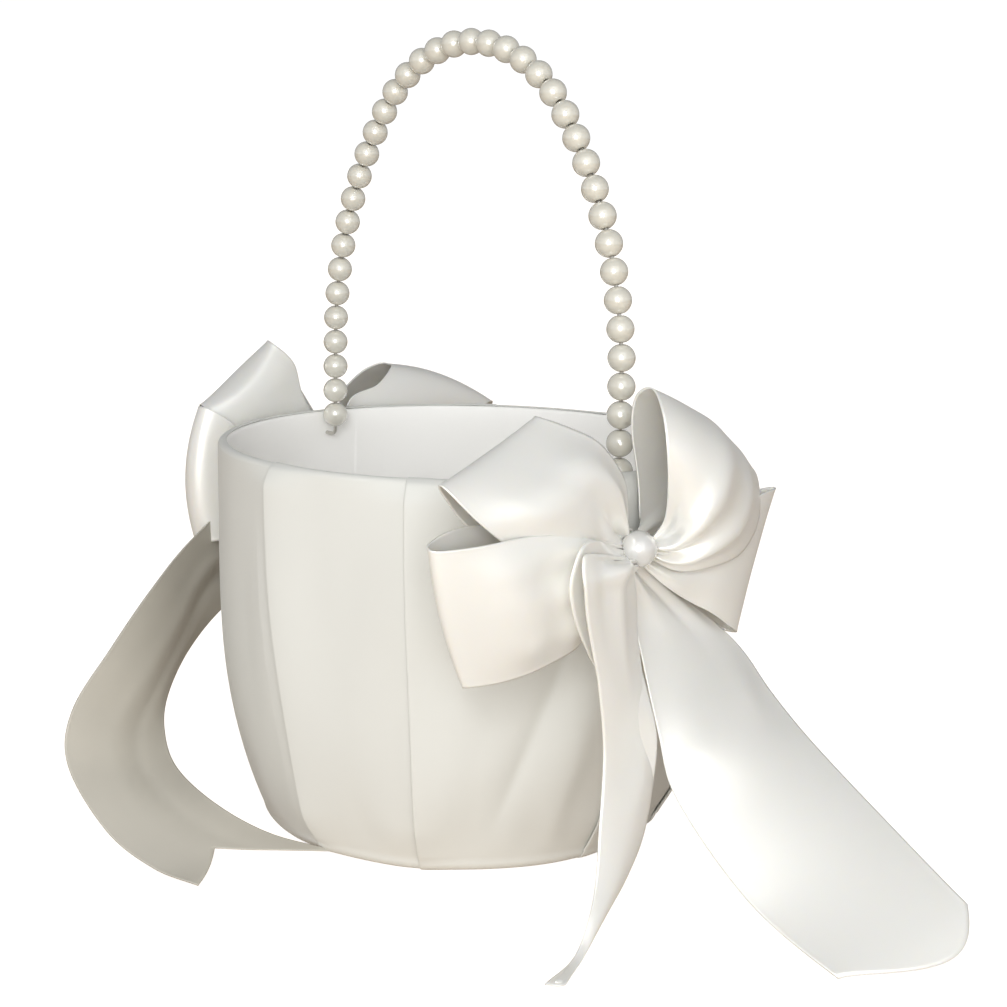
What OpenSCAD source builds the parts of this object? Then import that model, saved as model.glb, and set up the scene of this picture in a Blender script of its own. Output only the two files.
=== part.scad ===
// Flower girl basket: a satin-covered tub with a pearl-strung bail handle
// and a double satin bow at each end of the handle.
// Millimetres. The origin is the centre of the base, on the table, with +Z up
// and +X along the handle's span, towards the front bow.

/* [Tub] */
// Outer radius of the tub at its mouth
mouth_r = 75; // [70:0.5:85]
// Height of the tub over its rim
tub_h = 116.4; // [110:0.2:125]
// Height at which the wall reaches its full radius
bulge_z = 95; // [85:1:100]
// How far the wall draws in at the table
toe_in = 14.6; // [10:0.2:16]
// Radius of the rounded corner round the base
corner_r = 3.7; // [3:0.1:4]
// Wall thickness of the moulded tub
shell_t = 1.6; // [1.2:0.1:2]
// Thickness of the satin, with its backing
cloth_t = 0.4; // [0.3:0.05:0.5]
// Radius of the piping cord inside the rim
rim_cord_r = 1.2; // [1:0.1:1.3]

/* [Handle] */
// Distance from the centre to the handle's upright legs
leg_x = 67; // [66:0.1:67]
// Height of the pivots, where the wire goes through the wall
pivot_z = 109; // [107:0.5:110]
// Height at which the legs start to lean in
spring_z = 140; // [135:1:145]
// Height of the wire's centre line at the top of the arch
arch_top_z = 234.6; // [232:0.2:240]
// Radius of the arch's crown
crown_r = 52; // [50:1:54]
// Radius of the handle wire
wire_r = 0.6; // [0.5:0.05:0.7]
// Radius of one handle pearl
pearl_r = 3.98; // [3.5:0.01:3.98]
// Number of handle pearls
pearl_count = 39; // [39]

/* [Bows] */
// Width of the satin ribbon
ribbon_w = 40; // [36:1:42]
// Radius of the pearl at the middle of each bow
centre_pearl_r = 5; // [4:0.1:5]
// Sideways place of the bow's knot, from the handle's plane
bow_y = -13.5; // [-14:0.5:-13]
// Height of the bow's knot
bow_z = 98.9; // [98:0.1:99]

/* [Hidden] */
$fn = 96;
BOWS = ["front", "rear"];
LOOPS = ["upper_left", "upper_right", "lower_left", "lower_right"];

SATIN = [0.95, 0.93, 0.88];
RIBBON = [0.96, 0.94, 0.89];
PEARL = [0.93, 0.91, 0.86];
WIRE = [0.75, 0.73, 0.70];
BOARD = [0.72, 0.66, 0.56];
PLASTIC = [0.90, 0.89, 0.86];

// Play between layers that lie against each other
layer_gap = 0.05;
// Play of the wire in its holes, on the radius
wire_play = 0.05;
// Distance from one end of the model to well past any wall
far = 20;

// ---- Tub ------------------------------------------------------------------

// The rim: the satin turns over a piping cord on the tub's top edge
rim_out_r = rim_cord_r + 0.1 + cloth_t;
rim_c = [mouth_r - rim_out_r, tub_h - rim_out_r];
corner_c = [wall_r(corner_r) - corner_r, corner_r + 0.1];
shell_top = rim_c[1] - rim_cord_r - 0.3;
shell_out = cloth_t + layer_gap;
shell_in = shell_out + shell_t;
lining_out = shell_in + layer_gap;
lining_in = lining_out + cloth_t;
lining_top = shell_top - 0.2;
base_t = 0.5;
board_t = 1.5;
floor_z = corner_c[1] - corner_r + shell_in + layer_gap;
pad_z = floor_z + board_t + layer_gap;
pad_t = 3.5;

// Outer radius of the tub at height z
function wall_r(z) = z < bulge_z ? mouth_r - toe_in * pow(1 - z / bulge_z, 3) : mouth_r;

// The tub's outline from the base up to height top, set back by inset
function outline(inset, top, from = -90) = concat(
    [for (a = [from:15:0]) corner_c + (corner_r - inset) * [cos(a), sin(a)]],
    [for (i = [1:16]) let (z = corner_c[1] + (top - corner_c[1]) * i / 16)
        [wall_r(z) - inset, z]]);

function rim_arc(r) = [for (a = [0:15:180]) rim_c + r * [cos(a), sin(a)]];
function reversed(points) = [for (i = [len(points) - 1:-1:0]) points[i]];

// Holes through both walls for the handle wire
module wire_holes() {
    for (side = [-1, 1]) translate([side * (leg_x - 1), 0, pivot_z])
        rotate([0, side * 90, 0]) cylinder(r = wire_r + wire_play, h = far);
}

// Holes through both walls for the pins that hold the bows
module pin_holes() {
    for (turn = [0, 180]) rotate([0, 0, turn]) translate([leg_x, bow_y, bow_z])
        rotate([0, 90, 0]) cylinder(r = pin_r + pin_play, h = far);
}

module tub_shell() {
    color(PLASTIC) difference() {
        rotate_extrude() polygon(concat(
            [[0, corner_c[1] - corner_r + shell_out]],
            outline(shell_out, shell_top),
            reversed(outline(shell_in, shell_top)),
            [[0, corner_c[1] - corner_r + shell_in]]));
        wire_holes();
        pin_holes();
    }
}

module outer_cover() {
    hem_z = lining_top;
    color(SATIN) difference() {
        rotate_extrude() polygon(concat(
            outline(0, rim_c[1]), rim_arc(rim_out_r),
            [[rim_c[0] - rim_out_r, hem_z], [rim_c[0] - rim_out_r + cloth_t, hem_z]],
            reversed(rim_arc(rim_out_r - cloth_t)),
            reversed(outline(cloth_t, rim_c[1]))));
        wire_holes();
        pin_holes();
    }
}

module rim_cord() {
    color(SATIN) rotate_extrude() translate(rim_c) circle(r = rim_cord_r, $fn = 24);
}

module lining_wall() {
    foot = 1;
    color(SATIN) difference() {
        rotate_extrude() polygon(concat(
            [for (i = [0:16]) let (z = corner_c[1] + foot + (lining_top - corner_c[1] - foot) * i / 16)
                [wall_r(z) - lining_out, z]],
            [for (i = [16:-1:0]) let (z = corner_c[1] + foot + (lining_top - corner_c[1] - foot) * i / 16)
                [wall_r(z) - lining_in, z]]));
        wire_holes();
    }
}

module base_cover() {
    color(SATIN) cylinder(r = corner_c[0] - 0.6, h = base_t);
}

module base_board() {
    color(BOARD) translate([0, 0, floor_z]) cylinder(r = corner_c[0] - 1, h = board_t);
}

module lining_floor() {
    edge_r = 1.5;
    pad_r = corner_c[0] + 0.6;
    color(SATIN) rotate_extrude() polygon(concat(
        [[0, pad_z], [pad_r - edge_r, pad_z]],
        [for (a = [-60:30:60]) [pad_r - edge_r + edge_r * cos(a),
                                pad_z + pad_t / 2 + pad_t / 2 * sin(a)]],
        [[pad_r - edge_r, pad_z + pad_t], [0, pad_z + pad_t]]));
}

// ---- Handle ---------------------------------------------------------------

// The arch has three arcs: a flank on each side and a crown, tangent to each other
bend_r = 2;
first_pearl_z = pivot_z + 6.6;
crown_z = arch_top_z - crown_r;
crown_dz = crown_z - spring_z;
flank_r = (leg_x * leg_x + crown_dz * crown_dz - crown_r * crown_r) / (2 * (leg_x - crown_r));
flank_a = atan2(crown_dz, flank_r - leg_x);
leg_len = spring_z - first_pearl_z;
flank_len = flank_r * flank_a * PI / 180;
crown_len = crown_r * (180 - 2 * flank_a) * PI / 180;
half_len = leg_len + flank_len + crown_len / 2;
pearl_pitch = 2 * half_len / (pearl_count - 1);
wire_end_x = mouth_r + 2.9;

// Place and slope of the wire at distance s from the front leg's lowest pearl,
// as [x, z, angle from the vertical]
function on_leg(s) = [leg_x, first_pearl_z + s, 0];
function on_flank(s) = let (a = s / flank_r * 180 / PI)
    [leg_x - flank_r + flank_r * cos(a), spring_z + flank_r * sin(a), a];
function on_crown(s) = let (a = flank_a + s / crown_r * 180 / PI)
    [crown_r * cos(a), crown_z + crown_r * sin(a), a];
function on_front_half(s) = s < leg_len ? on_leg(s)
    : s < leg_len + flank_len ? on_flank(s - leg_len)
    : on_crown(s - leg_len - flank_len);
function on_wire(s) = s <= half_len ? on_front_half(s)
    : let (p = on_front_half(2 * half_len - s)) [-p[0], p[1], -p[2]];

// Stations along the wire, as [x, z, angle from the vertical], from its front
// pivot over the arch to the rear one
half_wire = concat(
    [[leg_x + bend_r + 1, pivot_z, 90]],
    [for (a = [90:-15:15]) [leg_x + bend_r - bend_r * cos(a), pivot_z + bend_r - bend_r * sin(a), a]],
    [[leg_x, pivot_z + bend_r, 0]],
    [for (i = [0:20]) on_front_half(half_len * i / 20)]);
whole_wire = concat(half_wire,
    [for (i = [len(half_wire) - 2:-1:0]) let (p = half_wire[i]) [-p[0], p[1], 180 - p[2]]]);

// The bent part of the wire, as a tube with flat sides
module wire_tube(r, sides = 8) {
    n = len(whole_wire);
    points = [for (p = whole_wire) for (j = [0:sides - 1]) let (b = 360 * j / sides)
        [p[0] + r * cos(b) * cos(p[2]), r * sin(b), p[1] + r * cos(b) * sin(p[2])]];
    walls = [for (k = [0:n - 2]) for (j = [0:sides - 1]) let (
        a = k * sides + j, b = k * sides + (j + 1) % sides)
        [a, a + sides, b + sides, b]];
    polyhedron(points = points, faces = concat(walls,
        [[for (j = [0:sides - 1]) j]],
        [[for (j = [sides - 1:-1:0]) (n - 1) * sides + j]]));
}

module handle_wire() {
    end_len = wire_end_x - leg_x - bend_r;
    color(WIRE) union() {
        wire_tube(wire_r - 0.02);
        for (side = [-1, 1]) translate([side * (leg_x + bend_r), 0, pivot_z])
            rotate([0, side * 90, 0]) cylinder(r = wire_r, h = end_len, $fn = 24);
    }
}

// A crimped collar that keeps the wire's end outside the wall
module handle_stop(side) {
    stop_r = 1.4;
    stop_x = mouth_r + 0.4;
    color(WIRE) translate([side * stop_x, 0, pivot_z]) rotate([0, side * 90, 0])
        difference() {
            cylinder(r = stop_r, h = 2);
            translate([0, 0, -1]) cylinder(r = wire_r + 0.01, h = 4, $fn = 24);
        }
}

module handle_pearl(s) {
    p = on_wire(s);
    translate([p[0], 0, p[1]]) rotate([0, -p[2], 0]) difference() {
        sphere(r = pearl_r, $fn = 48);
        cylinder(r = wire_r + 0.3, h = 4 * pearl_r, center = true, $fn = 24);
    }
}

module handle_pearls(first, last) {
    color(PEARL) for (i = [first:last]) handle_pearl(i * pearl_pitch);
}

// ---- Bows -----------------------------------------------------------------
// Each bow is drawn at the front, +X, and the rear one is turned half a turn
// round the tub. Left and right are as seen from outside, facing the bow.

waist_r = 3.2;
waist_x = [mouth_r - 0.2, 84];
pin_r = 0.4;
pin_play = 0.1;
pin_x = [mouth_r - 2.6, 89.8];
pearl_x = 89.2;
loop_throat_r = 2.5;
loop_end_r = 4;
throat_dy = 4.2;

// The two ends of each loop's outer fold line
LOOP_ENDS = [[[84, -77, 122], [77, -41, 135]],
             [[84.5, -4, 138], [79, 32, 123]],
             [[86, -82, 107], [86, -71, 71]],
             [[83, 47, 107], [81, 34, 69]]];
LOOP_SIDE = [[-1, 1], [1, 1], [-1, -1], [1, -1]];
LOOP_THROAT_X = [81, 82, 84, 84];

// Stations down each tail, as [left edge, right edge]
WIDE_TAIL = [[[82, -14, 91], [82, -7, 91]],
             [[89, -11, 71], [87, 29, 64]],
             [[100, -14, 52], [106, 26, 55]],
             [[114, -19, 37], [128, 19, 47]],
             [[140, -17, 16], [156, 20, 31]],
             [[163, -9, 1], [174, 26, 15]]];
NARROW_TAIL = [[[86, -18, 90], [88, -14, 90]],
               [[92, -30, 84], [97, -24, 84]],
               [[94, -32, 68], [104, -22, 69]],
               [[97, -32, 48], [106, -23, 50]],
               [[107, -43, 26], [115, -35, 27]],
               [[112, -58, 10], [118, -51, 10]],
               [[117, -72, 1], [121, -66, 1]]];
// The rear bow's wide tail sweeps round the tub and lies on the table
REAR_WIDE_TAIL = [[[-82, 10, 91], [-82, 17, 91]],
                  [[-84, -17, 92], [-85, -8, 62]],
                  [[-72, -52, 78], [-80, -37, 53]],
                  [[-50, -95, 59], [-60, -68, 36]],
                  [[-39, -116, 36], [-41, -80, 24]],
                  [[-20, -116, 13], [-16, -82, 14]],
                  [[9, -104, 1], [13, -63, 1]]];

// A smooth curve through the stations: value at parameter t, from 0 to len - 1
function spline(p, t) = let (n = len(p) - 1, i = min(floor(t), n - 1), u = t - i,
    a = p[max(i - 1, 0)], b = p[i], c = p[i + 1], d = p[min(i + 2, n)])
    0.5 * (2 * b + (c - a) * u + (2 * a - 5 * b + 4 * c - d) * u * u
           + (3 * b - a - 3 * c + d) * u * u * u);
function unit(v) = v / norm(v);

// A flat band that runs through the stations, with the given thickness
module band(stations, thick = 0.8, per_station = 4) {
    steps = (len(stations) - 1) * per_station;
    left = [for (s = stations) s[0]];
    right = [for (s = stations) s[1]];
    ring = [for (k = [0:steps]) let (
        t = k / per_station,
        l = spline(left, t), r = spline(right, t),
        e = 0.05,
        m0 = spline(left, max(t - e, 0)) + spline(right, max(t - e, 0)),
        m1 = spline(left, min(t + e, len(stations) - 1)) + spline(right, min(t + e, len(stations) - 1)),
        n = unit(cross(r - l, m1 - m0)) * thick / 2)
        [l + n, r + n, r - n, l - n]];
    points = [for (q = ring) for (p = q) p];
    sides = [for (k = [0:steps - 1]) for (j = [0:3])
        for (f = [[4 * k + j, 4 * k + (j + 1) % 4, 4 * k + 4 + j],
                  [4 * k + (j + 1) % 4, 4 * k + 4 + (j + 1) % 4, 4 * k + 4 + j]]) f];
    first_cap = [[0, 3, 2], [0, 2, 1]];
    last = 4 * steps;
    last_cap = [[last, last + 1, last + 2], [last, last + 2, last + 3]];
    polyhedron(points = points, faces = concat(sides, first_cap, last_cap));
}

module bow_loop(i) {
    throat = [LOOP_THROAT_X[i], bow_y + throat_dy * LOOP_SIDE[i][0],
              bow_z + throat_dy * LOOP_SIDE[i][1]];
    color(RIBBON) hull() {
        translate(throat) sphere(r = loop_throat_r, $fn = 24);
        for (end = LOOP_ENDS[i]) translate(end) sphere(r = loop_end_r, $fn = 24);
    }
}

module bow_knot() {
    color(RIBBON) translate([waist_x[0], bow_y, bow_z]) rotate([0, 90, 0]) difference() {
        cylinder(r = waist_r, h = waist_x[1] - waist_x[0]);
        translate([0, 0, -1]) cylinder(r = pin_r + pin_play, h = far);
    }
}

module bow_pearl() {
    color(PEARL) translate([pearl_x, bow_y, bow_z]) difference() {
        sphere(r = centre_pearl_r, $fn = 64);
        translate([pin_x[1] + 0.1 - pearl_x, 0, 0]) rotate([0, -90, 0])
            cylinder(r = pin_r + pin_play, h = far);
    }
}

module bow_pin() {
    color(WIRE) translate([pin_x[0], bow_y, bow_z]) rotate([0, 90, 0])
        cylinder(r = pin_r, h = pin_x[1] - pin_x[0], $fn = 24);
}

module wide_tail() { color(RIBBON) band(WIDE_TAIL); }
module narrow_tail() { color(RIBBON) band(NARROW_TAIL); }
module rear_wide_tail() { color(RIBBON) band(REAR_WIDE_TAIL); }

// ---- Assembly -------------------------------------------------------------

pearls_per_leg = 10;

tub_shell();
base_board();
base_cover();
outer_cover();
rim_cord();
lining_wall();
lining_floor();
handle_wire();
handle_stop(1);  // handle_stop_front
handle_stop(-1);  // handle_stop_rear
handle_pearls(0, pearls_per_leg - 1);  // handle_pearls_front
handle_pearls(pearls_per_leg, pearl_count - pearls_per_leg - 1);  // handle_pearls_crown
handle_pearls(pearl_count - pearls_per_leg, pearl_count - 1);  // handle_pearls_rear
for (b = [0, 1]) {
    for (i = [0:3]) rotate([0, 0, 180 * b]) bow_loop(i);
    rotate([0, 0, 180 * b]) narrow_tail();
    rotate([0, 0, 180 * b]) bow_knot();
    rotate([0, 0, 180 * b]) bow_pearl();
    rotate([0, 0, 180 * b]) bow_pin();
}
wide_tail();  // front_bow_wide_tail
rear_wide_tail();  // rear_bow_wide_tail
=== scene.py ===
"""Looks of the flower girl basket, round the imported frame: pleated satin cover, lining, bows and pearls."""

import math

import bpy
import numpy as np
from mathutils import Matrix, Vector


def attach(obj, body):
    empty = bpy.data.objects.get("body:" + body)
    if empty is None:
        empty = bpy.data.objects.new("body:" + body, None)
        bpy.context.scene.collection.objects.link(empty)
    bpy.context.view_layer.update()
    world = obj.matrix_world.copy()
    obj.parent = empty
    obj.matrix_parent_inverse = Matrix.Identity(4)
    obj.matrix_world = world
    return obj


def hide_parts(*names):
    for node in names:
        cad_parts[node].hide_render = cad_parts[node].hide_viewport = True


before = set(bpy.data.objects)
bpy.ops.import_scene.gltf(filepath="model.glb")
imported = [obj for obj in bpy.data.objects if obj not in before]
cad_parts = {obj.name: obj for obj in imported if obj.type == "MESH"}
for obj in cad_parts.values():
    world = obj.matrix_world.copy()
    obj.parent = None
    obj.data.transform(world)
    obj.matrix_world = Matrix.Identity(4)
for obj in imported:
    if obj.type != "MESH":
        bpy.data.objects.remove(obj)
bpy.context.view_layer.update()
MM = 0.001
FULL_TURN = 2 * math.pi

# ---- Driving sizes, in millimetres, as in part.scad ------------------------

MOUTH_R = 75.0
TUB_H = 116.4
BULGE_Z = 95.0
TOE_IN = 14.6
CORNER_R = 3.7
RIM_R = 1.7
LEG_X = 67.0
PIVOT_Z = 109.0
SPRING_Z = 140.0
CROWN_R = 52.0
CROWN_Z = 234.6 - CROWN_R
PEARL_R = 3.98
PEARL_COUNT = 39
FIRST_PEARL_Z = PIVOT_Z + 6.6
BOW_Y = -13.5
BOW_Z = 98.9
CENTRE_PEARL_R = 5.0
CENTRE_PEARL_X = 89.2
PAD_TOP = 9.2
RIBBON_W = 40.0

# Sizes of the pieces made here, in millimetres
PAD_R = 59.0
BASE_R = 57.8
WIRE_HOLE_R = 0.8
PIN_HOLE_R = 0.5
PIN_HOLE_DEPTH = 4.0
KNOT_START_X = 74.9
KNOT_LEN = 9.4
KNOT_R = 3.1
COVER_THICK = 0.26
LINING_THICK = 0.2
KNOT_THICK = 0.5
RIBBON_THICK = 0.28
# A ribbon is this much thicker at its selvedges
SELVEDGE_THICK = 0.22
# How far inside the tub's outer radius the middle of the cover and of the lining lie
COVER_INSET = 0.15
LINING_INSET = 2.45


# ---- Mesh helpers -----------------------------------------------------------

def smooth(x):
    """0 below 0, 1 above 1, and a smooth step between."""
    x = np.clip(x, 0, 1)
    return x * x * (3 - 2 * x)


def spline(points, t):
    """Catmull-Rom curve through points, at parameters t from 0 to len(points) - 1."""
    p = np.array(points, float)
    p = np.vstack([2 * p[0] - p[1], p, 2 * p[-1] - p[-2]])
    t = np.asarray(t, float)
    i = np.clip(np.floor(t).astype(int), 0, len(p) - 4)
    u = (t - i)[:, None]
    a, b, c, d = p[i], p[i + 1], p[i + 2], p[i + 3]
    square = (2 * a - 5 * b + 4 * c - d) * u ** 2
    cube = (3 * b - a - 3 * c + d) * u ** 3
    return 0.5 * (2 * b + (c - a) * u + square + cube)


def grid_normals(grid, wrap=False):
    """Unit normals of a grid of points; wrap says that its columns close into a ring."""
    if wrap:
        across = np.roll(grid, -1, 1) - np.roll(grid, 1, 1)
    else:
        across = np.gradient(grid, axis=1)
    along = np.gradient(grid, axis=0)
    n = np.cross(along, across)
    length = np.linalg.norm(n, axis=2, keepdims=True)
    return n / np.maximum(length, 1e-9)


def grid_faces(rows, cols, wrap, offset, flip):
    """Quads between the points of a rows by cols grid."""
    last = cols if wrap else cols - 1
    faces = []
    for r in range(rows - 1):
        for c in range(last):
            d = (c + 1) % cols
            quad = [offset + r * cols + c, offset + r * cols + d,
                    offset + (r + 1) * cols + d, offset + (r + 1) * cols + c]
            faces.append(quad[::-1] if flip else quad)
    return faces


def border_faces(rows, cols, wrap, step):
    """Quads that join the borders of two grids, the second step points after the first."""
    first = list(range(cols)) + ([0] if wrap else [])
    last = [(rows - 1) * cols + c for c in first]
    loops = [(first, False), (last, True)]
    if not wrap:
        loops += [([r * cols for r in range(rows)], True),
                  ([r * cols + cols - 1 for r in range(rows)], False)]
    faces = []
    for loop, flip in loops:
        for a, b in zip(loop, loop[1:]):
            quad = [a, a + step, b + step, b]
            faces.append(quad[::-1] if flip else quad)
    return faces


def link(name, mesh, material):
    """A new smooth-shaded object from a mesh, with one material."""
    mesh.materials.append(material)
    mesh.polygons.foreach_set("use_smooth", [True] * len(mesh.polygons))
    obj = bpy.data.objects.new(name, mesh)
    bpy.context.scene.collection.objects.link(obj)
    return obj


def cloth_from_grid(name, grid, uv, thick, material, wrap=False):
    """A closed sheet of cloth round a grid of points in mm; thick is in mm, one number or a grid."""
    rows, cols = grid.shape[:2]
    half = grid_normals(grid, wrap) * (np.zeros((rows, cols, 1)) + np.asarray(thick)[..., None]) / 2
    front = (grid + half).reshape(-1, 3)
    back = (grid - half).reshape(-1, 3)
    step = rows * cols
    faces = grid_faces(rows, cols, wrap, 0, False) + grid_faces(rows, cols, wrap, step, True)
    faces += border_faces(rows, cols, wrap, step)
    mesh = bpy.data.meshes.new(name)
    mesh.from_pydata((np.vstack([front, back]) * MM).tolist(), [], faces)
    flat = np.tile(uv.reshape(-1, 2), (2, 1))
    layer = mesh.uv_layers.new(name="UVMap")
    index = np.empty(len(mesh.loops), int)
    mesh.loops.foreach_get("vertex_index", index)
    layer.data.foreach_set("uv", flat[index].ravel())
    mesh.update()
    return link(name, mesh, material)


def lathe(name, profile, material, segments, close=False):
    """A surface turned round Z from (radius, height) points in mm; close joins the last to the first."""
    points = []
    for r, z in profile:
        for k in range(segments):
            a = FULL_TURN * k / segments
            points.append((r * math.cos(a) * MM, r * math.sin(a) * MM, z * MM))
    faces = []
    rows = len(profile)
    for i in range(rows if close else rows - 1):
        j = (i + 1) % rows
        for k in range(segments):
            m = (k + 1) % segments
            faces.append([i * segments + k, i * segments + m, j * segments + m, j * segments + k])
    mesh = bpy.data.meshes.new(name)
    mesh.from_pydata(points, [], faces)
    mesh.update()
    return link(name, mesh, material)


# ---- Materials --------------------------------------------------------------

# Threads to a metre along the cloth, against those across it, and how much their roughness varies
WEFT_TO_WARP = 0.45
THREAD_GLOSS = 0.06
SHEEN = 0.10
# Height of the bump in a surface, in metres, at full strength
BUMP_REACH = 0.0002
# Tone of the dark grain in board, plastic and metal, against their colour
GRAIN_SHADE = 0.88


def new_material(name):
    """A new node material: (material, nodes, links, its Principled shader)."""
    material = bpy.data.materials.new(name)
    material.use_nodes = True
    nodes = material.node_tree.nodes
    return material, nodes, material.node_tree.links, nodes["Principled BSDF"]


def node(nodes, kind, **values):
    """A node of a kind, with its properties or input values set."""
    made = nodes.new(kind)
    for key, value in values.items():
        if key in made.inputs:
            made.inputs[key].default_value = value
        else:
            setattr(made, key, value)
    return made


def mix_color(nodes, links, factor, low, high):
    """A colour that goes from low to high with a factor socket."""
    mix = node(nodes, "ShaderNodeMix", data_type="RGBA")
    links.new(factor, mix.inputs["Factor"])
    mix.inputs[6].default_value = (*low, 1)
    mix.inputs[7].default_value = (*high, 1)
    return mix.outputs[2]


def add_bump(nodes, links, shader, height, strength, distance):
    """Bump on a shader from a height socket."""
    bump = node(nodes, "ShaderNodeBump", Strength=strength, Distance=distance)
    links.new(height, bump.inputs["Height"])
    links.new(bump.outputs["Normal"], shader.inputs["Normal"])


def satin(name, color, shade, rough, weave, weave_depth, glow=0.0, gloss=0.5, lustre=0.0):
    """Woven satin: fine warp and weft lines, a soft broad gloss and a slight change of tone.

    weave is the number of threads to a metre, glow how much light goes into the cloth, and lustre how
    far its gloss takes the cloth's own colour.
    """
    material, nodes, links, shader = new_material(name)
    coords = node(nodes, "ShaderNodeTexCoord")
    cloudy = node(nodes, "ShaderNodeTexNoise", Scale=38.0, Detail=3.0, Roughness=0.55)
    links.new(coords.outputs["Object"], cloudy.inputs["Vector"])
    tone = mix_color(nodes, links, cloudy.outputs["Fac"], shade, color)
    links.new(tone, shader.inputs["Base Color"])
    scale = node(nodes, "ShaderNodeMapping")
    scale.inputs["Scale"].default_value = (weave, weave * WEFT_TO_WARP, 1)
    links.new(coords.outputs["UV"], scale.inputs["Vector"])
    threads = node(nodes, "ShaderNodeTexNoise", Scale=1.0, Detail=2.0, Roughness=0.6)
    links.new(scale.outputs["Vector"], threads.inputs["Vector"])
    ramp = node(nodes, "ShaderNodeMapRange")
    ramp.inputs["To Min"].default_value = rough - THREAD_GLOSS
    ramp.inputs["To Max"].default_value = rough + THREAD_GLOSS
    links.new(threads.outputs["Fac"], ramp.inputs["Value"])
    links.new(ramp.outputs["Result"], shader.inputs["Roughness"])
    add_bump(nodes, links, shader, threads.outputs["Fac"], weave_depth, BUMP_REACH)
    shader.inputs["Sheen Weight"].default_value = SHEEN
    shader.inputs["Sheen Roughness"].default_value = 0.4
    shader.inputs["Specular IOR Level"].default_value = gloss
    shader.inputs["Metallic"].default_value = lustre
    shader.inputs["Subsurface Weight"].default_value = glow
    shader.inputs["Subsurface Radius"].default_value = (1.0, 0.7, 0.4)
    shader.inputs["Subsurface Scale"].default_value = MM
    return material


def nacre(name, color, shade, rough):
    """Pearl: a body colour with soft clouds of a deeper tone, under a clear hard coat."""
    material, nodes, links, shader = new_material(name)
    coords = node(nodes, "ShaderNodeTexCoord")
    cloud = node(nodes, "ShaderNodeTexNoise", Scale=180.0, Detail=1.0)
    links.new(coords.outputs["Object"], cloud.inputs["Vector"])
    tone = mix_color(nodes, links, cloud.outputs["Fac"], color, shade)
    links.new(tone, shader.inputs["Base Color"])
    grain = node(nodes, "ShaderNodeTexNoise", Scale=900.0, Detail=2.0)
    links.new(coords.outputs["Object"], grain.inputs["Vector"])
    add_bump(nodes, links, shader, grain.outputs["Fac"], 0.08, BUMP_REACH / 2)
    shader.inputs["Roughness"].default_value = rough
    shader.inputs["Specular IOR Level"].default_value = 0.6
    shader.inputs["Coat Weight"].default_value = 1.0
    shader.inputs["Coat Roughness"].default_value = 0.08
    shader.inputs["Coat IOR"].default_value = 2.2
    shader.inputs["Subsurface Weight"].default_value = 0.15
    shader.inputs["Subsurface Radius"].default_value = (1.0, 0.85, 0.7)
    shader.inputs["Subsurface Scale"].default_value = MM
    return material


def plain(name, color, rough, grain_scale, grain_depth, metal=0.0):
    """Board, plastic or metal, with a fine grain in its colour and surface."""
    material, nodes, links, shader = new_material(name)
    coords = node(nodes, "ShaderNodeTexCoord")
    grain = node(nodes, "ShaderNodeTexNoise", Scale=grain_scale, Detail=4.0)
    links.new(coords.outputs["Object"], grain.inputs["Vector"])
    darker = [c * GRAIN_SHADE for c in color]
    tone = mix_color(nodes, links, grain.outputs["Fac"], darker, color)
    links.new(tone, shader.inputs["Base Color"])
    add_bump(nodes, links, shader, grain.outputs["Fac"], grain_depth, BUMP_REACH)
    shader.inputs["Roughness"].default_value = rough
    shader.inputs["Metallic"].default_value = metal
    return material


COVER = satin("cover_satin", (0.705, 0.705, 0.67), (0.69, 0.69, 0.655),
              rough=0.62, weave=5200, weave_depth=0.10)
# The lining's colour is raised well above the cover's satin: painted light, for the light that reaches the
# inside; the floor pad shares it
LINING_PAINTED_LIGHT = satin("lining_satin", (0.975, 0.96, 0.93), (0.965, 0.95, 0.92),
               rough=0.60, weave=5200, weave_depth=0.10)
RIBBON = satin("ribbon_satin", (0.905, 0.89, 0.845), (0.89, 0.875, 0.83),
               rough=0.34, weave=6000, weave_depth=0.12, glow=0.15, gloss=0.6, lustre=0.3)
# The rear wide tail shows the duller back of its ribbon, and its colour is painted shade: much darker than
# the ribbon's own, for the shade it lies in
RIBBON_BACK_PAINTED_SHADE = satin("ribbon_back_painted_shade", (0.56, 0.53, 0.465), (0.52, 0.49, 0.43),
                rough=0.45, weave=6000, weave_depth=0.12, lustre=0.1)
PEARL = nacre("handle_nacre", (0.72, 0.70, 0.625), (0.62, 0.59, 0.51), rough=0.22)
CENTRE = nacre("centre_nacre", (0.72, 0.715, 0.70), (0.64, 0.63, 0.61), rough=0.20)
PLASTIC = plain("tub_plastic", (0.80, 0.79, 0.75), rough=0.5, grain_scale=300, grain_depth=0.05)
BOARD = plain("fibre_board", (0.52, 0.46, 0.37), rough=0.85, grain_scale=500, grain_depth=0.3)
STOP = plain("stop_ivory", (0.86, 0.81, 0.71), rough=0.5, grain_scale=600, grain_depth=0.05)
WIRE = plain("drawn_wire", (0.62, 0.60, 0.56), rough=0.32, grain_scale=1500, grain_depth=0.06, metal=1.0)


# ---- Tub --------------------------------------------------------------------

RIM_C = (MOUTH_R - RIM_R, TUB_H - RIM_R)


def wall_r(z):
    """Outer radius of the tub at height z."""
    return np.where(z < BULGE_Z, MOUTH_R - TOE_IN * (1 - z / BULGE_Z) ** 3, MOUTH_R)


CORNER_C = (float(wall_r(np.array(CORNER_R))) - CORNER_R, CORNER_R + 0.1)

# Each pleat's folded edge, in degrees: its angle round the tub at the rim, and how far it turns lower down
PLEATS = [(-86.5, 4.5), (-52.2, 1.4), (-5, 0), (28, 2), (60, -3), (96, 3), (132, -2), (168, 3), (205, -3)]
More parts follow.
